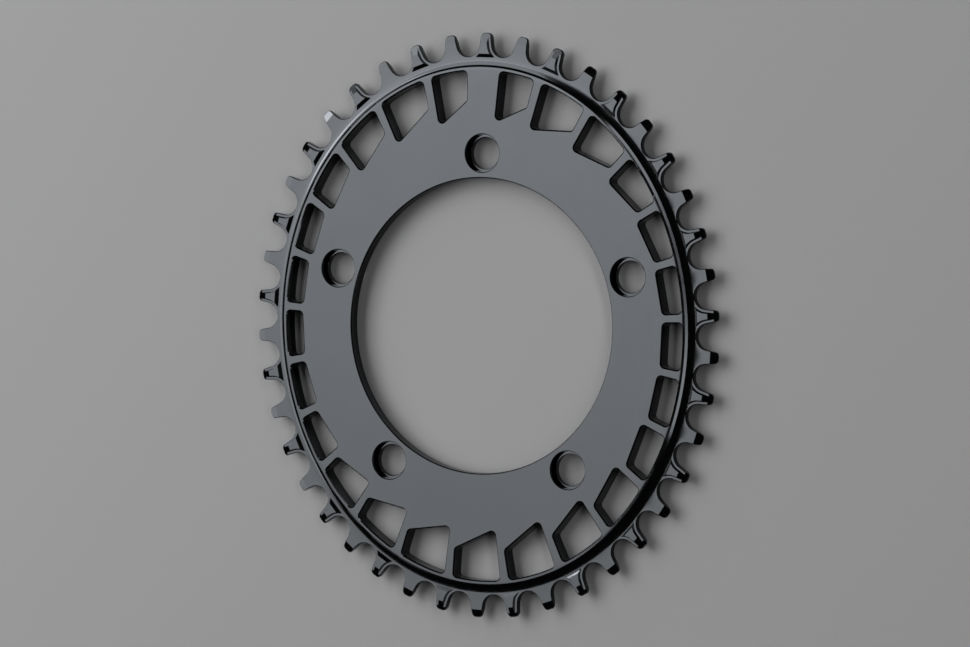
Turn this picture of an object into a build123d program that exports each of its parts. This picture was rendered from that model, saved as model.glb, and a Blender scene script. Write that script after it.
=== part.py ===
from build123d import *
import os
from math import atan2, cos, degrees, pi, radians, sin, sqrt, tan

# One-piece oval narrow-wide bicycle chainring, machined from aluminium plate.
# Frame: origin on the ring's axis, on the plane of the spider seats at the back of the web;
# +Z along the axis towards the outer (front) face, +Y towards the first bolt hole. Millimetres.

# Chain and bolt circle
TEETH = 42
CHAIN_PITCH = 12.7
OVALITY = 1.1284
OVAL_TILT = 4.1          # the long axis of the oval leans this far anticlockwise from +Y
FIRST_SEAT = 85.9        # direction of the first roller seat
SEAT_RADIUS = 4.15
BOLT_CIRCLE = 110.0
BOLTS = 5
BOLT_HOLE_RADIUS = 5.1
COUNTERBORE_RADIUS = 6.05
COUNTERBORE_DEPTH = 2.15
BORE_RADIUS = 47.1

# Heights along the axis
FRONT = 4.2              # front face of the web
PLATE_FRONT = 3.1        # front face of the tooth plate
PLATE_BACK = 0.9
BACK = -1.3              # back of the windowed rim, outside the spider seats
SEAT_STEP_RADIUS = 62.4  # the spider seats' recess ends here

# Teeth
TIP_HEIGHT = 3.6         # above the line between two roller seats
FLANK_LEAN = 8.0
TIP_ROUND = 1.2
NARROW_BEVEL_LENGTH = 2.5
NARROW_BEVEL_DROP = 0.7
PAD_RISE = 0.8           # the wide teeth are thicker by this on each side
PAD_FOOT = -4.25
PAD_FOOT_RUN = 0.9
PAD_SIDE_GAP = 0.85      # strip of tooth plate left beside each pad
PAD_SIDE_LEAN = 29.0
PAD_REACH = 3.3          # half width of a pad at its foot
WIDE_BEVEL_LENGTH = 3.2
WIDE_BEVEL_DROP = 1.4

# Rim between the tooth plate and the web, as distances inside the pitch oval with heights: a cove
# that steepens to an edge, then a slight ramp up to the web
COVE = (
    ((4.93, 4.43), 3.04),
    ((6.25, 5.75), 3.23),
    ((7.10, 6.68), 3.55),
    ((7.56, 7.36), 4.10),
    ((8.30, 8.05), 4.20),
)
SLOPE_FOOT = (5.35, 4.85)
BACK_SLOPE_TOP = (7.20, 6.75)

# Windows: quadrilaterals between radial ribs, angles clockwise from +Y
WINDOWS = 25
WINDOW_CENTRE = 7.0
WINDOW_HALF_ANGLE = 5.95
TOP_RIB_HALF_ANGLE = 4.3  # the wide rib at the top
WINDOW_OUTER = (81.3, 71.35)
WINDOW_DEEP_RADIUS = 65.2
WINDOW_SHALLOW = (72.0, 65.3)
INNER_SHIFT = Vector(-0.4, 0)  # the windows' inner edges lie this far off the axis
SHALLOW_TILT = 7.9
WINDOW_CORNER = 1.3

BORE_BREAK = 0.4


def polar(radius, clockwise):
    return Vector(radius * sin(radians(clockwise)), radius * cos(radians(clockwise)))


def oval_radius(axes, tilt, clockwise):
    """Radius of an oval at a direction given clockwise from +Y; tilt leans it anticlockwise."""
    a, b = axes
    t = radians(clockwise + tilt)
    return 1 / sqrt((cos(t) / a) ** 2 + (sin(t) / b) ** 2)


def on_pitch(a, t):
    """Point of the pitch oval at parameter t, measured anticlockwise from its long axis."""
    x, y = a * cos(t), a / OVALITY * sin(t)
    d = radians(90 + OVAL_TILT)
    return Vector(x * cos(d) - y * sin(d), x * sin(d) + y * cos(d))


def walk_seats(a):
    """Roller seats one chain pitch apart, and the parameter at which the walk ends."""
    start = radians(FIRST_SEAT - 90 - OVAL_TILT)
    t = atan2(sin(start) * OVALITY, cos(start))
    first = t
    seats = []
    for _ in range(TEETH):
        here = on_pitch(a, t)
        seats.append(here)
        low, high = t, t + 0.4
        for _ in range(50):
            mid = (low + high) / 2
            if (on_pitch(a, mid) - here).length < CHAIN_PITCH:
                low = mid
            else:
                high = mid
        t = high
    return seats, t - first


def solve_pitch_oval():
    """Long half-axis at which the last chord closes on the first seat."""
    low, high = 85.0, 95.0
    for _ in range(40):
        mid = (low + high) / 2
        if walk_seats(mid)[1] > 2 * pi:
            low = mid
        else:
            high = mid
    return high


PITCH_A = solve_pitch_oval()
PITCH_B = PITCH_A / OVALITY
SEATS = walk_seats(PITCH_A)[0]


def tooth_frame(k):
    """Midpoint between two seats, the unit vector along them and the outward normal."""
    p, q = SEATS[k], SEATS[(k + 1) % TEETH]
    u = (q - p).normalized()
    return (p + q) * 0.5, u, Vector(u.Y, -u.X)


def oval(inset, z):
    face = Ellipse(PITCH_A - inset[0], PITCH_B - inset[1])
    return Pos(0, 0, z) * Rot(0, 0, 90 + OVAL_TILT) * face


def frustum(inset_low, z_low, inset_high, z_high):
    return loft([oval(inset_low, z_low).face(), oval(inset_high, z_high).face()], ruled=True)


def tooth_ring_outline():
    """Outer edge of the tooth plate: roller seats, flanks and rounded tips."""
    lean = radians(FLANK_LEAN)
    half = CHAIN_PITCH / 2
    foot = (-half + SEAT_RADIUS * cos(lean), -SEAT_RADIUS * sin(lean))
    rise = (TIP_HEIGHT - foot[1]) / cos(lean)
    corner_x = foot[0] + rise * sin(lean)
    trim = TIP_ROUND * sin(pi / 4 - lean / 2) / cos(pi / 4 - lean / 2)
    on_flank = (corner_x - trim * sin(lean), TIP_HEIGHT - trim * cos(lean))
    on_tip = (corner_x + trim, TIP_HEIGHT)
    centre = (on_tip[0], TIP_HEIGHT - TIP_ROUND)
    turn = radians(135 + FLANK_LEAN / 2)
    middle = (centre[0] + TIP_ROUND * cos(turn), centre[1] + TIP_ROUND * sin(turn))
    edges = []
    for k in range(TEETH):
        origin, u, n = tooth_frame(k)

        def at(point, side=1):
            return origin + u * (point[0] * side) + n * point[1]

        edges.append(Line(at(foot), at(on_flank)))
        edges.append(ThreePointArc(at(on_flank), at(middle), at(on_tip)))
        edges.append(Line(at(on_tip), at(on_tip, -1)))
        edges.append(ThreePointArc(at(on_tip, -1), at(middle, -1), at(on_flank, -1)))
        edges.append(Line(at(on_flank, -1), at(foot, -1)))
        after = tooth_frame((k + 1) % TEETH)
        seat = SEATS[(k + 1) % TEETH]
        bottom = seat - (n + after[2]).normalized() * SEAT_RADIUS
        start = after[0] + after[1] * foot[0] + after[2] * foot[1]
        edges.append(ThreePointArc(at(foot, -1), bottom, start))
    return make_face(Wire(edges))


def place(k, shape):
    """Put a shape drawn in a tooth's own frame (x along the seats, y outward) on tooth k."""
    origin, u, n = tooth_frame(k)
    return Pos(origin.X, origin.Y, 0) * Rot(0, 0, degrees(atan2(n.Y, n.X)) - 90) * shape


def tip_cutter(bevel_length, drop, face_z):
    """Wedge that bevels a tooth's tip on the front; face_z is the face where it starts."""
    run, fall = bevel_length, drop
    profile = Polyline(
        (TIP_HEIGHT - run, face_z),
        (TIP_HEIGHT + run, face_z - 2 * fall),
        (TIP_HEIGHT + run, face_z + 1),
        (TIP_HEIGHT - run, face_z + 1),
        close=True,
    )
    wedge = extrude(Plane.YZ * make_face(profile), 6)
    return Pos(-3, 0, 0) * wedge


def pad_hollow(height, low_reach):
    """Space beside a pad: it follows the roller seat, then runs along the tooth's flank."""
    points = []
    for turn in (-78, -54, -31, -FLANK_LEAN):
        a = radians(turn)
        points.append((low_reach * cos(a), low_reach * sin(a)))
    up = 2 * TIP_HEIGHT
    points.append((points[-1][0] + up * tan(radians(FLANK_LEAN)), points[-1][1] + up))
    points.append((0, points[-1][1]))
    points.append((0, points[0][1]))
    face = make_face(Polyline(*points, close=True))
    return Pos(-CHAIN_PITCH / 2, 0, 0) * extrude(face, height, taper=-PAD_SIDE_LEAN)


def front_pad():
    """Raised pad on the front of a wide tooth: sloped foot and sides hollowed round the seats."""
    sunk = 0.2
    low, high = PLATE_FRONT - sunk, PLATE_FRONT + PAD_RISE
    profile = Polyline(
        (PAD_FOOT - sunk * PAD_FOOT_RUN / PAD_RISE, low),
        (PAD_FOOT + PAD_FOOT_RUN, high),
        (TIP_HEIGHT, high),
        (TIP_HEIGHT, low),
        close=True,
    )
    pad = Pos(-PAD_REACH, 0, 0) * extrude(Plane.YZ * make_face(profile), 2 * PAD_REACH)
    reach = SEAT_RADIUS + PAD_SIDE_GAP - sunk * tan(radians(PAD_SIDE_LEAN))
    hollow = Pos(0, 0, low) * pad_hollow(high - low, reach)
    return pad - [hollow, mirror(hollow, Plane.YZ)]


def to_back(shape):
    """Mirror a shape from the tooth plate's front to its back."""
    middle = (PLATE_FRONT + PLATE_BACK) / 2
    return mirror(shape, Plane.XY.offset(middle))


def window_cutter(k):
    """Quadrilateral window: radial sides, oval outer edge, slanting inner edge."""
    centre = WINDOW_CENTRE + 360 / WINDOWS * k
    low, high = centre - WINDOW_HALF_ANGLE, centre + WINDOW_HALF_ANGLE
    if k == 0:
        low = TOP_RIB_HALF_ANGLE
    if k == WINDOWS - 1:
        high = 360 - TOP_RIB_HALF_ANGLE
    shallow = oval_radius(WINDOW_SHALLOW, SHALLOW_TILT, centre)

    def outer(angle):
        return polar(oval_radius(WINDOW_OUTER, OVAL_TILT, angle), angle)

    deep_corner = polar(WINDOW_DEEP_RADIUS, low) + INNER_SHIFT
    shallow_corner = polar(shallow, high) + INNER_SHIFT
    edges = [
        Line(deep_corner, shallow_corner),
        Line(shallow_corner, outer(high)),
        ThreePointArc(outer(high), outer((low + high) / 2), outer(low)),
        Line(outer(low), deep_corner),
    ]
    face = make_face(Wire(edges))
    face = fillet(face.vertices(), WINDOW_CORNER)
    return Pos(0, 0, BACK - 1) * extrude(face, FRONT - BACK + 2)


def bolt_hole_cutter():
    """Through hole with a counterbore for the bolt head."""
    ledge = FRONT - COUNTERBORE_DEPTH
    c, h = COUNTERBORE_RADIUS, BOLT_HOLE_RADIUS
    profile = Polyline(
        (0, -1),
        (h, -1),
        (h, ledge),
        (c, ledge),
        (c, FRONT + 1),
        (0, FRONT + 1),
        close=True,
    )
    return revolve(Plane.XZ * make_face(profile), Axis.Z)


def bore_cutter():
    """Bore with its front edge broken."""
    slack = 0.1
    r, c = BORE_RADIUS, BORE_BREAK
    profile = Polyline(
        (0, -1),
        (r, -1),
        (r, FRONT - c),
        (r + c + slack, FRONT + slack),
        (0, FRONT + slack),
        close=True,
    )
    return revolve(Plane.XZ * make_face(profile), Axis.Z)


def build():
    # Tooth plate with thicker wide teeth, the tips bevelled on both sides
    ring = Pos(0, 0, PLATE_BACK) * extrude(tooth_ring_outline(), PLATE_FRONT - PLATE_BACK)
    narrow = tip_cutter(NARROW_BEVEL_LENGTH, NARROW_BEVEL_DROP, PLATE_FRONT)
    wide = tip_cutter(WIDE_BEVEL_LENGTH, WIDE_BEVEL_DROP, PLATE_FRONT + PAD_RISE)
    pad = front_pad() - wide
    cutters = []
    pads = []
    for k in range(TEETH):
        cutter = narrow if k % 2 else wide
        cutters += [place(k, cutter), place(k, to_back(cutter))]
        if k % 2 == 0:
            pads += [place(k, pad), place(k, to_back(pad))]
    ring = ring - cutters
    ring = ring + pads

    # Cove from the tooth plate up to the web, and the longer slope to the rim's back
    ring = ring + loft([oval(inset, z).face() for inset, z in COVE], ruled=True)
    ring = ring + frustum(BACK_SLOPE_TOP, BACK, SLOPE_FOOT, PLATE_BACK + 0.3)

    # Recess for the spider's arms at the back, bore, bolt holes and windows
    recess = Pos(0, 0, BACK - 1) * extrude(Circle(SEAT_STEP_RADIUS), -BACK + 1)
    ring = ring - recess - bore_cutter()
    hole = bolt_hole_cutter()
    step = 360 / BOLTS
    ring = ring - [Rot(0, 0, 90 + step * i) * Pos(BOLT_CIRCLE / 2, 0, 0) * hole for i in range(BOLTS)]
    ring = ring - [window_cutter(k) for k in range(WINDOWS)]
    return ring


chainring = build()
os.makedirs("parts", exist_ok=True)
solids = chainring.solids()
print("pitch oval", round(PITCH_A, 3), round(PITCH_B, 3), "solids", len(solids))
export_step(solids[0], "parts/chainring.step")
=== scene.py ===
from math import atan2, cos, pi, radians, sin, tan

import bpy
import numpy as np
from mathutils import Euler, Matrix, Vector
from mathutils.geometry import delaunay_2d_cdt


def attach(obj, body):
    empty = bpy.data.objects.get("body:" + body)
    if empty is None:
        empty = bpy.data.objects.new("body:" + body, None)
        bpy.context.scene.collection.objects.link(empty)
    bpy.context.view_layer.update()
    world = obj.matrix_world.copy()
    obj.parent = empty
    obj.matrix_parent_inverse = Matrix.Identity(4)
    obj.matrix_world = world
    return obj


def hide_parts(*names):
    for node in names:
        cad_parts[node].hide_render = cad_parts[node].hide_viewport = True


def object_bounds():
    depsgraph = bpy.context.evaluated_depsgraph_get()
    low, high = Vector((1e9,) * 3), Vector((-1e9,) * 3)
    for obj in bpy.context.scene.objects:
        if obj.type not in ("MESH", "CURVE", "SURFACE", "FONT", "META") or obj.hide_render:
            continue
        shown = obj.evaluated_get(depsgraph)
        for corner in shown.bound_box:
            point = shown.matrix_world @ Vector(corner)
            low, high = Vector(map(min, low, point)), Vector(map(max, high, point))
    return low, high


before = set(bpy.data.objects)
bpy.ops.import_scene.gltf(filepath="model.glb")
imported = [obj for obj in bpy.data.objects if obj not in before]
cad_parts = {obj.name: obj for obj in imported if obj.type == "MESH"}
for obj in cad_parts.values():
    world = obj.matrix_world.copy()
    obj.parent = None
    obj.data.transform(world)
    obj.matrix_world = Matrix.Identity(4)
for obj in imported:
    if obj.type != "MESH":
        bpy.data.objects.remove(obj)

cad_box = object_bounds()

# Chainring: one piece, milled from aluminium plate and black anodised. The 42 teeth stand one chain
# pitch apart round an oval, every second one widened by a pad on both sides to fill the wide gaps
# of the chain. Its plan is drawn flat with all its edges, then raised to a solid by a node tree.
mm = 0.001
teeth = 42
chain_pitch = 12.7
ovality = 1.1284
oval_tilt = 4.1  # degrees that the long axis leans anticlockwise from the first bolt hole
first_seat = 85.9  # direction of the first roller seat, in degrees anticlockwise from +X
seat_radius = 4.15
seat_steps = 26
tip_height = 3.6  # above the line between two roller seats
flank_lean = radians(8.0)
tip_round = 1.2
tip_steps = 10
tooth_break = 0.22
shortest, longest = 89.5, 90.5  # the pitch oval's long half-axis lies between these
closing_halvings = 26
seat_halvings = 45
widest_turn = 0.4  # more than any seat turns from the last


def lean_over(x, y):
    """Points drawn along the oval's own axes, turned to its lean."""
    lean = radians(90 + oval_tilt)
    return np.stack((x * cos(lean) - y * sin(lean), x * sin(lean) + y * cos(lean)), -1)


def on_pitch(long_half, turn):
    """Point of the pitch oval."""
    return lean_over(long_half * cos(turn), long_half / ovality * sin(turn))


def walk_seats(long_half):
    """Roller seats one chain pitch apart round the oval, and how far the walk turned."""
    start = radians(first_seat - 90 - oval_tilt)
    start = atan2(sin(start) * ovality, cos(start))
    turn, found = start, []
    for _ in range(teeth):
        here = on_pitch(long_half, turn)
        found.append(here)
        low, high = turn, turn + widest_turn
        for _ in range(seat_halvings):
            middle = (low + high) / 2
            if np.hypot(*(on_pitch(long_half, middle) - here)) < chain_pitch:
                low = middle
            else:
                high = middle
        turn = high
    return found, turn - start


for _ in range(closing_halvings):
    pitch_long = (shortest + longest) / 2
    if walk_seats(pitch_long)[1] > 2 * pi:
        shortest = pitch_long
    else:
        longest = pitch_long
pitch_long = longest
pitch_short = pitch_long / ovality
seats = walk_seats(pitch_long)[0]


def tooth_frame(k):
    """Middle between two seats, the direction along them and the direction outwards."""
    p, q = seats[k % teeth], seats[(k + 1) % teeth]
    along = (q - p) / np.hypot(*(q - p))
    return (p + q) / 2, along, np.array((along[1], -along[0]))


def on_tooth(k, points):
    """Points drawn in a tooth's own frame, put on tooth k."""
    origin, along, out = tooth_frame(k)
    points = np.asarray(points, float)
    return origin + points[:, :1] * along + points[:, 1:] * out


def arc(centre, radius, start, end, steps):
    """Points along an arc, both ends among them."""
    turns = np.linspace(start, end, steps + 1)
    return np.stack((centre[0] + radius * np.cos(turns), centre[1] + radius * np.sin(turns)), 1)


def offset(line, distance, closed=True):
    """Line moved to its left by a distance, with mitred corners."""
    before = np.roll(line, 1, 0)
    after = np.roll(line, -1, 0)
    if not closed:
        before[0] = 2 * line[0] - line[1]
        after[-1] = 2 * line[-1] - line[-2]
    a = line - before
    b = after - line
    a /= np.hypot(*a.T)[:, None]
    b /= np.hypot(*b.T)[:, None]
    mitre = np.stack((-a[:, 1] - b[:, 1], a[:, 0] + b[:, 0]), 1)
    return line + distance * 2 * mitre / (mitre ** 2).sum(1)[:, None]


def tooth_outline():
    """Edge of the tooth plate, anticlockwise: flanks, rounded tips and roller seats."""
    foot = (-chain_pitch / 2 + seat_radius * cos(flank_lean), -seat_radius * sin(flank_lean))
    corner_x = foot[0] + (tip_height - foot[1]) * tan(flank_lean)
    trim = tip_round * tan(pi / 4 - flank_lean / 2)
    centre = (corner_x + trim, tip_height - tip_round)
    shoulder = (corner_x - trim * sin(flank_lean), tip_height - trim * cos(flank_lean))
    flank = np.linspace(foot, shoulder, 3)[:-1]
    left = np.concatenate((flank, arc(centre, tip_round, pi - flank_lean, pi / 2, tip_steps)))
    tooth = np.concatenate((left, left[::-1] * (-1, 1)))
    edge = []
    for k in range(teeth):
        here, after = on_tooth(k, tooth), on_tooth(k + 1, tooth)
        seat = seats[(k + 1) % teeth]
        start = atan2(*(here[-1] - seat)[::-1])
        end = atan2(*(after[0] - seat)[::-1])
        sweep = (start - end) % (2 * pi)
        edge += [here, arc(seat, seat_radius, start, start - sweep, seat_steps)[1:-1]]
    return np.concatenate(edge)


# Web inside the teeth: 25 windows between radial ribs, the bore, and five bolt holes on a 110 mm
# circle, each counterbored from the front. All are milled through, and their edges are broken.
windows = 25
window_centre = 7.0  # directions and half angles in degrees, clockwise from the first bolt hole
window_half = 5.95
top_rib_half = 4.3
window_outer = (81.3, 71.35)  # half-axes of the oval along their outer edges
window_deep = 65.2  # radius of the inner edges' deep ends
window_shallow = (72.0, 65.3)  # half-axes of the oval through their shallow ends
shallow_tilt = 7.9
inner_shift = (-0.4, 0.0)  # the inner edges lie this far off the axis
window_corner = 1.3
window_corner_steps = 9
window_edge_points = 9
window_break = 0.42
bolts = 5
bolt_circle = 110.0
bolt_hole = 5.1
hole_break = 0.15
counterbore = 6.05
counterbore_break = 0.26
hole_steps = 72
bore = 47.1
bore_break = 0.35
bore_steps = 300
recess = 62.4  # where the spider's arms sit, at the back
recess_steps = 360
wall_run = 0.02  # how far a wall that is nearly upright leans
cut_reach = 14  # a point further than this from the middle of a window or hole isn't near it


def polar(radius, clockwise):
    """Points at a radius and a direction."""
    turn = np.radians(clockwise)
    return np.stack((radius * np.sin(turn), radius * np.cos(turn)), -1)


def oval_radius(axes, tilt, clockwise):
    """Radius of an oval that leans anticlockwise by its tilt, in a direction."""
    turn = np.radians(clockwise + tilt)
    return 1 / np.sqrt((np.cos(turn) / axes[0]) ** 2 + (np.sin(turn) / axes[1]) ** 2)


def circle(radius, steps, centre=(0.0, 0.0)):
    return arc(centre, radius, 0, 2 * pi, steps)[:-1]


def round_corners(line, marks, radius):
    """Closed line with the corners at the marked indices rounded."""
    made = []
    for i in range(len(line)):
        if i not in marks:
            made.append(line[i][None])
            continue
        p, before, after = line[i], line[i - 1], line[(i + 1) % len(line)]
        a = (before - p) / np.hypot(*(before - p))
        b = (after - p) / np.hypot(*(after - p))
        half = np.arccos(np.clip(a @ b, -1, 1)) / 2
        middle = (a + b) / np.hypot(*(a + b))
        centre = p + middle * radius / sin(half)
        first = p + a * radius / tan(half) - centre
        last = p + b * radius / tan(half) - centre
        start = atan2(first[1], first[0])
        sweep = (atan2(last[1], last[0]) - start + pi) % (2 * pi) - pi
        made.append(arc(centre, radius, start, start + sweep, window_corner_steps))
    return np.concatenate(made)


def window_outline(k):
    """Edge of window k, anticlockwise: slanting inner edge, rib, outer edge and rib."""
    centre = window_centre + 360 / windows * k
    low = top_rib_half if k == 0 else centre - window_half
    high = 360 - top_rib_half if k == windows - 1 else centre + window_half
    shallow = oval_radius(window_shallow, shallow_tilt, centre)
    steps = np.linspace(high, low, window_edge_points)
    outer = polar(oval_radius(window_outer, oval_tilt, steps), steps)
    inner = polar(np.array([window_deep, shallow]), np.array([low, high])) + inner_shift
    line = np.concatenate((inner, outer))
    return round_corners(line, (0, 1, 2, len(line) - 1), window_corner)


tooth_edge = tooth_outline()
window_edges = [window_outline(k) for k in range(windows)]
bore_edge = circle(bore, bore_steps)
bolt_places = [polar(bolt_circle / 2, -360 / bolts * i) for i in range(bolts)]
hole_edges = [circle(bolt_hole, hole_steps, place) for place in bolt_places]


# Rim between the tooth plate and the web, as pairs of distances inside the pitch oval, along its
# long and its short axis, with heights. On the front it is a cove that steepens to an edge, then a
# slight ramp up to the web; on the back it slopes from the plate down to the rim.
web_front = 4.2
plate_front = 3.1
cove_start = 4.62
cove_end = 6.90
cove_rise = 0.50
cove_steepening = 0.58  # share of the rise that comes late, with the cube of the way in
cove_short_axis = (-0.30, -0.22)  # how much further out it lies there, at its start and end
cove_steps = 12
rim_edge = [((7.62, 7.37), 4.14), ((8.25, 8.03), 4.19), ((8.60, 8.38), web_front)]
back_slope_foot = (5.25, 5.03)
back_slope_top = (7.10, 6.88)
oval_steps = 540

cove = []
for way in np.linspace(0, 1, cove_steps):
    inset = cove_start + (cove_end - cove_start) * way
    inset_short = inset + cove_short_axis[0] + (cove_short_axis[1] - cove_short_axis[0]) * way
    rise = cove_rise * ((1 - cove_steepening) * way + cove_steepening * way ** 3)
    cove.append(((inset, inset_short), plate_front + rise))
rim_ovals, rim_heights = zip(*(cove + rim_edge))


def inset_oval(inset):
    """Points of the oval that lies inside the pitch oval by a pair of distances."""
    turns = np.linspace(0, 2 * pi, oval_steps, endpoint=False)
    return lean_over((pitch_long - inset[0]) * np.cos(turns), (pitch_short - inset[1]) * np.sin(turns))


def across_rim(points, insets, values):
    """Value at each point, read across the rim between ovals given from outside to inside."""
    clockwise = np.degrees(np.arctan2(points[:, 0], points[:, 1]))
    radius = np.hypot(*points.T)
    made = np.full(len(points), float(values[0]))
    rings = [oval_radius((pitch_long - a, pitch_short - b), oval_tilt, clockwise) for a, b in insets]
    for i in range(len(insets) - 1):
        way = np.clip((rings[i] - radius) / (rings[i] - rings[i + 1]), 0, 1)
        made += way * (values[i + 1] - values[i])
    return made


# Pads of the wide teeth, in the tooth's own frame: a sloped foot, sides hollowed round the two
# seats, and a long bevel down to the tip. The narrow teeth have a shorter bevel. Both bevels are
# given by where they start and by how much they fall for each millimetre outwards.
pad_foot = -4.25
pad_foot_run = 1.14
pad_reach = 3.3
pad_gap = 0.85
pad_side_run = 0.45
pad_side_steps = 12
pad_side_start = radians(-46)
pad_rise = 0.8
wide_bevel = (0.4, 1.4 / 3.2)
narrow_bevel = (1.1, 0.7 / 2.5)
narrow_reach = 3.0  # half length of the crease where a narrow tooth's bevel starts
bevel_overrun = 2.0  # how far the crease at a wide bevel's foot runs past the pad
wide_bevel_end = wide_bevel[0] + pad_rise / wide_bevel[1]
tooth_foot, tooth_top = -4.6, 4  # a tooth's relief lies between these heights
mirrors = ((1, 1), (-1, 1))


def cut_line(line, low, high):
    """Part of a line that rises in y, between two heights."""
    inside = line[(line[:, 1] > low) & (line[:, 1] < high)]
    ends = [(np.interp(y, line[:, 1], line[:, 0]), y) for y in (low, high)]
    return np.concatenate(([ends[0]], inside, [ends[1]]))


hollow_centre = (-chain_pitch / 2, 0)
hollow = arc(hollow_centre, seat_radius + pad_gap, pad_side_start, -flank_lean, pad_side_steps)
straight = hollow[-1] + np.array((tan(flank_lean), 1)) * (2 * tip_height)
pad_side = np.concatenate(([(-pad_reach, pad_foot)], hollow, [straight]))
pad_base_side = cut_line(pad_side, pad_foot, wide_bevel_end)
pad_top_side = offset(pad_side, -pad_side_run, closed=False)
pad_top_side = cut_line(pad_top_side, pad_foot + pad_foot_run, wide_bevel[0])
pad_lines = []
for mirror in mirrors:
    base, top = pad_base_side * mirror, pad_top_side * mirror
    outwards = base[-1] + np.array((-bevel_overrun * mirror[0], 0))
    pad_lines += [base, top, np.array((base[0], top[0])), np.array((top[-1], base[-1], outwards))]
for end in (pad_base_side[0], pad_top_side[0], pad_top_side[-1]):
    pad_lines.append(np.array((end, end * (-1, 1))))
narrow_lines = [np.array(((-narrow_reach, narrow_bevel[0]), (narrow_reach, narrow_bevel[0])))]


def nearest(points, line, closed=True):
    """Distance from each point to a line."""
    starts = line if closed else line[:-1]
    ends = np.roll(line, -1, 0) if closed else line[1:]
    best = np.full(len(points), np.inf)
    for p, q in zip(starts, ends):
        run = q - p
        way = np.clip(((points - p) @ run) / (run @ run), 0, 1)
        best = np.minimum(best, ((points - p - way[:, None] * run) ** 2).sum(1))
    return np.sqrt(best)


def pad_share(points):
    """How far up the pad's slopes each point of a tooth lies, from 0 at the base to 1 on top."""
    made = np.clip((points[:, 1] - pad_foot) / pad_foot_run, 0, 1)
    for mirror in mirrors:
        mirrored = points * mirror
        side = np.interp(mirrored[:, 1], pad_side[:, 1], pad_side[:, 0])
        away = nearest(mirrored, pad_side, closed=False)
        up_side = np.where(mirrored[:, 0] > side, np.clip(away / pad_side_run, 0, 1), 0)
        made = np.minimum(made, up_side)
    return made


# The flat plan: every edge and crease above is a line that the triangles keep. What lies outside
# the teeth, in the bore, in a window or in a bolt hole is taken away.
same_point = 1e-5
lines = [(tooth_edge, True), (offset(tooth_edge, tooth_break), True)]
for edge in window_edges:
    lines += [(edge, True), (offset(edge, -window_break), True)]
lines += [(bore_edge, True), (circle(bore + bore_break, bore_steps), True)]
for place, edge in zip(bolt_places, hole_edges):
    lines.append((edge, True))
    for radius in (
        bolt_hole + hole_break,
        counterbore,
        counterbore + wall_run,
        counterbore + wall_run + counterbore_break,
    ):
        lines.append((circle(radius, hole_steps, place), True))
lines += [(circle(recess, recess_steps), True), (circle(recess + wall_run, recess_steps), True)]
for inset in (*rim_ovals, back_slope_foot, back_slope_top):
    lines.append((inset_oval(inset), True))
for k in range(teeth):
    for line in narrow_lines if k % 2 else pad_lines:
        lines.append((on_tooth(k, line), False))

vertices, edges = [], []
for line, closed in lines:
    start = len(vertices)
    count = len(line)
    vertices += [Vector(p) for p in line]
    edges += [(start + i, start + (i + 1) % count) for i in range(count if closed else count - 1)]
flat = delaunay_2d_cdt(vertices, edges, [], 0, same_point)
plan = np.array([tuple(v) for v in flat[0]])
triangles = np.array([tuple(t) for t in flat[2] if len(t) == 3])


def within(points, line):
    """Whether each point lies inside a closed line."""
    inside = np.zeros(len(points), bool)
    for p, q in zip(line, np.roll(line, -1, 0)):
        crosses = (p[1] > points[:, 1]) != (q[1] > points[:, 1])
        if crosses.any():
            at = (q[0] - p[0]) * (points[:, 1] - p[1]) / (q[1] - p[1] + 1e-30) + p[0]
            inside ^= crosses & (points[:, 0] < at)
    return inside


middles = plan[triangles].mean(1)
kept = within(middles, tooth_edge) & ~within(middles, bore_edge)
for edge in window_edges + hole_edges:
    near = np.hypot(*(middles - edge.mean(0)).T) < cut_reach
    kept[near] &= ~within(middles[near], edge)
used, triangles = np.unique(triangles[kept], return_inverse=True)
triangles = triangles.reshape(-1, 3)
plan = plan[used]
a, b, c = (plan[triangles[:, i]] for i in range(3))
face_down = np.cross(b - a, c - a) < 0
triangles[face_down] = triangles[face_down][:, ::-1]

# What each point of the plan carries into the tree: how far the broken edges and the counterbores
# lower it, how far up a pad it lies, and how high the tooth's bevel leaves it.
radius = np.hypot(*plan.T)
edge_drop = np.maximum(0, bore_break - (radius - bore))
outside = radius > recess
tooth_gap = nearest(plan[outside], tooth_edge)
edge_drop[outside] = np.maximum(edge_drop[outside], tooth_break - tooth_gap)
for edge in window_edges:
    near = np.hypot(*(plan - edge.mean(0)).T) < cut_reach
    edge_drop[near] = np.maximum(edge_drop[near], window_break - nearest(plan[near], edge))
counterbored = np.zeros(len(plan))
counterbore_drop = np.zeros(len(plan))
for place in bolt_places:
    away = np.hypot(*(plan - place).T)
    edge_drop = np.maximum(edge_drop, hole_break - (away - bolt_hole))
    sunk = np.clip((counterbore + wall_run - away) / wall_run, 0, 1)
    counterbored = np.maximum(counterbored, sunk)
    fall = np.clip(counterbore_break + counterbore + wall_run - away, 0, 1)
    fall = np.where(away > counterbore + wall_run / 2, fall, 0)
    counterbore_drop = np.maximum(counterbore_drop, fall)
counterbore_drop *= 1 - counterbored

no_bevel = 10.0  # higher than any pad
pad = np.zeros(len(plan))
tip = np.full(len(plan), no_bevel)
for k in range(teeth):
    origin, along, out = tooth_frame(k)
    local = np.stack(((plan - origin) @ along, (plan - origin) @ out), 1)
    near = np.abs(local[:, 0]) < chain_pitch / 2
    near &= (local[:, 1] > tooth_foot) & (local[:, 1] < tooth_top)
    height = local[near][:, 1]
    start, fall = narrow_bevel if k % 2 else wide_bevel
    top = 0 if k % 2 else pad_rise
    tip[near] = np.where(height > start, top - fall * (height - start), tip[near])
    if k % 2 == 0:
        pad[near] = pad_share(local[near])

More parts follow.
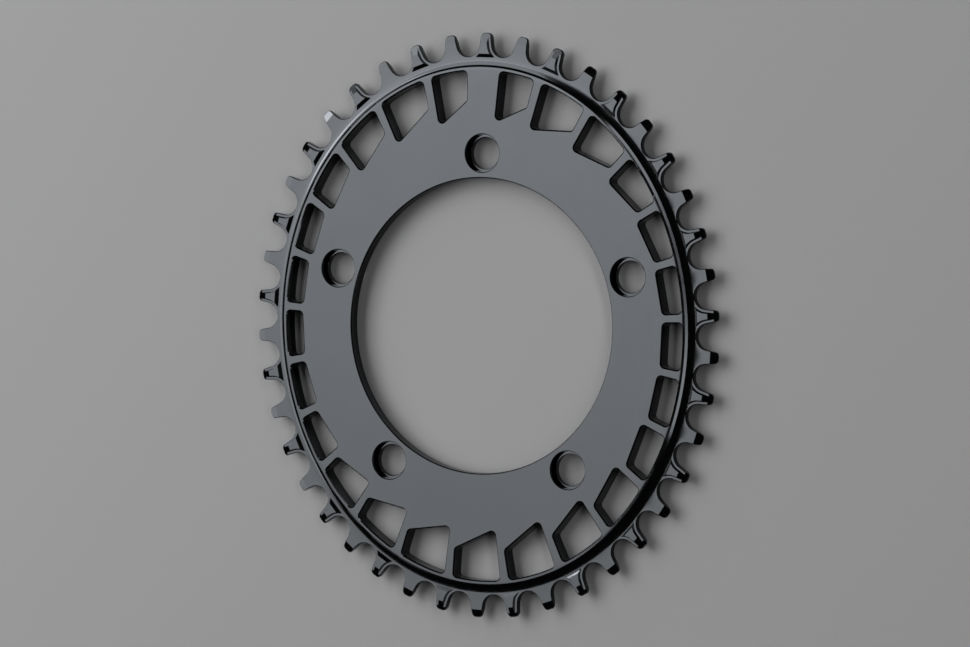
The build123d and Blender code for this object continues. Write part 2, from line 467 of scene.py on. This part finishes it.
rim_shares = [(height - plate_front) / (web_front - plate_front) for height in rim_heights]
carried = {
    "cove": across_rim(plan, rim_ovals, rim_shares),
    "back_slope": across_rim(plan, (back_slope_foot, back_slope_top), (0, 1)),
    "recess": np.clip((recess + wall_run - radius) / wall_run, 0, 1),
    "counterbore": counterbored,
    "pad": pad,
    "tip": tip * mm,
    "edge": np.clip(edge_drop, 0, 1) * mm,
    "counterbore_edge": counterbore_drop * mm,
}

drawing = bpy.data.meshes.new("chainring_plan")
corners = [tuple(map(int, triangle)) for triangle in triangles]
drawing.from_pydata([(x * mm, y * mm, 0) for x, y in plan], [], corners)
for name, values in carried.items():
    layer = drawing.attributes.new(name, "FLOAT", "POINT")
    layer.data.foreach_set("value", values.astype(np.float32))
ring = bpy.data.objects.new("oval_chainring", drawing)
bpy.context.collection.objects.link(ring)


# Relief tree: the plan becomes a slab, and its two faces are set to their heights.
relief = bpy.data.node_groups.new("ring_relief", "GeometryNodeTree")
relief.interface.new_socket(name="Plan", in_out="INPUT", socket_type="NodeSocketGeometry")
heights = {
    "Web front": web_front,
    "Plate front": plate_front,
    "Plate back": 0.9,
    "Spider seat": 0.0,
    "Rim back": -1.3,
    "Counterbore depth": 2.15,
    "Pad rise": pad_rise,
}
slab_depth = 1.0  # only until the faces are set
weld = 1e-7
for name in heights:
    relief.interface.new_socket(name=name, in_out="INPUT", socket_type="NodeSocketFloat")
relief.interface.new_socket(name="Finish", in_out="INPUT", socket_type="NodeSocketMaterial")
relief.interface.new_socket(name="Ring", in_out="OUTPUT", socket_type="NodeSocketGeometry")
sizes = relief.nodes.new("NodeGroupInput").outputs


def put(tree, kind, *values, **settings):
    """Add a node, set it up, and feed its inputs in order with sockets or plain values."""
    node = tree.nodes.new(kind)
    for name, value in settings.items():
        setattr(node, name, value)
    for socket, value in zip(node.inputs, values):
        if isinstance(value, bpy.types.NodeSocket):
            tree.links.new(value, socket)
        elif value is not None:
            socket.default_value = value
    return node


def calc(operation, *values):
    return put(relief, "ShaderNodeMath", *values, operation=operation).outputs[0]


def share(name):
    """What the points of the plan carry under a name."""
    return put(relief, "GeometryNodeInputNamedAttribute", name, data_type="FLOAT").outputs[0]


def change(name, low, high):
    """A share of the step between two heights."""
    return calc("MULTIPLY", share(name), calc("SUBTRACT", high, low))


tooth_rise = calc("MINIMUM", calc("MULTIPLY", share("pad"), sizes["Pad rise"]), share("tip"))
front = calc("ADD", sizes["Plate front"], change("cove", sizes["Plate front"], sizes["Web front"]))
front = calc("SUBTRACT", front, calc("MULTIPLY", share("counterbore"), sizes["Counterbore depth"]))
front = calc("SUBTRACT", front, share("counterbore_edge"))
front = calc("SUBTRACT", calc("ADD", front, tooth_rise), share("edge"))
back = calc("ADD", sizes["Plate back"], change("back_slope", sizes["Plate back"], sizes["Rim back"]))
back = calc("ADD", back, change("recess", sizes["Rim back"], sizes["Spider seat"]))
back = calc("ADD", calc("SUBTRACT", back, tooth_rise), share("edge"))

raised = put(relief, "GeometryNodeExtrudeMesh", sizes["Plan"], mode="FACES")
raised.inputs["Offset Scale"].default_value = slab_depth
raised.inputs["Individual"].default_value = False
under = put(relief, "GeometryNodeFlipFaces", sizes["Plan"])
slab = relief.nodes.new("GeometryNodeJoinGeometry")
relief.links.new(raised.outputs["Mesh"], slab.inputs[0])
relief.links.new(under.outputs["Mesh"], slab.inputs[0])
slab = put(relief, "GeometryNodeMergeByDistance", slab.outputs[0])
slab.inputs["Distance"].default_value = weld
place = relief.nodes.new("GeometryNodeInputPosition").outputs[0]
place = put(relief, "ShaderNodeSeparateXYZ", place).outputs
is_front = calc("GREATER_THAN", place["Z"], slab_depth / 2)
height = calc("ADD", back, calc("MULTIPLY", is_front, calc("SUBTRACT", front, back)))
moved = put(relief, "ShaderNodeCombineXYZ", place["X"], place["Y"], height)
shaped = relief.nodes.new("GeometryNodeSetPosition")
relief.links.new(slab.outputs[0], shaped.inputs["Geometry"])
relief.links.new(moved.outputs[0], shaped.inputs["Position"])
realized = put(relief, "GeometryNodeRealizeInstances", shaped.outputs[0])
painted = relief.nodes.new("GeometryNodeSetMaterial")
relief.links.new(realized.outputs[0], painted.inputs["Geometry"])
relief.links.new(sizes["Finish"], painted.inputs["Material"])
relief.links.new(painted.outputs[0], relief.nodes.new("NodeGroupOutput").inputs[0])

# Finish: black anodising with a soft gloss. The metal was blasted before it was dyed, which leaves a
# fine grain; the sheen and the tone of the dye vary a little over the ring.
dye_tones = ((0.047, 0.050, 0.054, 1), (0.052, 0.055, 0.059, 1))
dye_patches = 45
sheen_range = (0.08, 0.13)  # roughness
sheen_patches = 260
grain_size = 5200
grain_depth = 0.00001
grain_strength = 0.2
sharp_edge = radians(12)
anodised = bpy.data.materials.new("black_anodised_aluminium")
anodised.use_nodes = True
finish = anodised.node_tree
shader = finish.nodes["Principled BSDF"]
shader.inputs["Metallic"].default_value = 1.0
on_ring = finish.nodes.new("ShaderNodeTexCoord").outputs["Object"]


def noise(scale, detail):
    made = finish.nodes.new("ShaderNodeTexNoise")
    made.inputs["Scale"].default_value = scale
    made.inputs["Detail"].default_value = detail
    finish.links.new(on_ring, made.inputs["Vector"])
    return made.outputs["Fac"]


sheen = put(finish, "ShaderNodeMapRange", noise(sheen_patches, 5), 0.3, 0.7, *sheen_range)
finish.links.new(sheen.outputs["Result"], shader.inputs["Roughness"])
dye = put(finish, "ShaderNodeMix", data_type="RGBA")
finish.links.new(noise(dye_patches, 3), dye.inputs["Factor"])
dye.inputs[6].default_value, dye.inputs[7].default_value = dye_tones
finish.links.new(dye.outputs[2], shader.inputs["Base Color"])
grain = finish.nodes.new("ShaderNodeBump")
grain.inputs["Strength"].default_value = grain_strength
grain.inputs["Distance"].default_value = grain_depth
finish.links.new(noise(grain_size, 2), grain.inputs["Height"])
finish.links.new(grain.outputs["Normal"], shader.inputs["Normal"])

modifier = ring.modifiers.new("relief", "NODES")
modifier.node_group = relief
items = relief.interface.items_tree
sockets = {item.name: item.identifier for item in items if item.in_out == "INPUT"}
for name, value in heights.items():
    modifier[sockets[name]] = value * mm
modifier[sockets["Finish"]] = anodised
shaped_ring = ring.evaluated_get(bpy.context.evaluated_depsgraph_get())
solid = bpy.data.meshes.new_from_object(shaped_ring)
ring.modifiers.clear()
ring.data = solid
solid.shade_smooth()
solid.set_sharp_from_angle(angle=sharp_edge)
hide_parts("chainring")
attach(ring, "root")

# Floor: one plain sheet of matt grey paper, far wider than the ring, which lies loose on it, on the
# back of its rim.
floor_size = 6
floor_grey = (0.32, 0.32, 0.325, 1)
floor_height = cad_box[0][2]
bpy.ops.mesh.primitive_plane_add(size=floor_size, location=(0, 0, floor_height))
floor = bpy.context.object
floor.name = "floor"
paper = bpy.data.materials.new("floor_paper")
paper.use_nodes = True
paper.node_tree.nodes["Principled BSDF"].inputs["Base Color"].default_value = floor_grey
paper.node_tree.nodes["Principled BSDF"].inputs["Roughness"].default_value = 0.9
floor.data.materials.append(paper)

# Light: six soft lamps at one distance, all turned to the ring's middle. Broad panels stand over it,
# to its left and at its top, and a long one on its right, which the rim shows as a bright strip.
# Two small ones make the highlights at the upper left.
lamp_distance = 1.8
soft_lamps = {  # direction, roll in degrees, width, height, power
    "panel_over": ((-0.602, 0.03, 0.80), 0, 1.08, 1.24, 15.3),
    "panel_left": ((-0.85, 0.15, 0.505), 0, 0.45, 1.9, 8.7),
    "panel_top": ((-0.498, 0.598, 0.629), 0, 1.083, 1.13, 12.5),
    "panel_right": ((0.685, 0.25, 0.685), 10, 0.32, 3.2, 11.4),
    "soft_key": ((-0.785, 0.245, 0.569), 0, 0.3, 0.32, 2.1),
    "low_strip": ((-0.765, 0.61, 0.21), 0, 0.2, 0.35, 4.3),
}
world = bpy.data.worlds.new("studio")
bpy.context.scene.world = world
world.use_nodes = True
world.node_tree.nodes["Background"].inputs["Color"].default_value = (1, 1, 1, 1)
world.node_tree.nodes["Background"].inputs["Strength"].default_value = 0.02
for name, (side, roll, width, height, power) in soft_lamps.items():
    lamp = bpy.data.lights.new(name, "AREA")
    lamp.shape = "RECTANGLE"
    lamp.size = width
    lamp.size_y = height
    lamp.energy = power
    stand = bpy.data.objects.new(name, lamp)
    away = Vector(side).normalized()
    across = Vector((0, 1, 0)).cross(away).normalized()
    faced = Matrix((across, away.cross(across), away)).transposed()
    stand.matrix_world = (faced @ Matrix.Rotation(radians(roll), 3, "Z")).to_4x4()
    stand.location = away * lamp_distance
    bpy.context.collection.objects.link(stand)

# The overhead panel is a softbox: it fades a little towards its lower edge.
softbox = bpy.data.lights["panel_over"]
softbox.use_nodes = True
glow = softbox.node_tree
on_box = glow.nodes.new("ShaderNodeNewGeometry").outputs["Parametric"]
on_box = put(glow, "ShaderNodeSeparateXYZ", on_box).outputs
fade = put(glow, "ShaderNodeMapRange", on_box["Y"], 0.2, 0.7, 0.6, 1.1)
glow.links.new(fade.outputs["Result"], glow.nodes["Emission"].inputs["Strength"])

# Camera: it looks down on the ring from 28 degrees to the right of its axis, with the
# photograph's lens.
lens = bpy.data.cameras.new("camera")
lens.sensor_width = 36
lens.lens = 152.584
camera = bpy.data.objects.new("camera", lens)
camera.location = (0.619117, 0.055400, 1.156694)
camera.rotation_euler = Euler((-0.03343016, 0.49216882, 0.01753209), "XYZ")
bpy.context.collection.objects.link(camera)
bpy.context.scene.camera = camera
bpy.context.scene.view_settings.view_transform = "Standard"
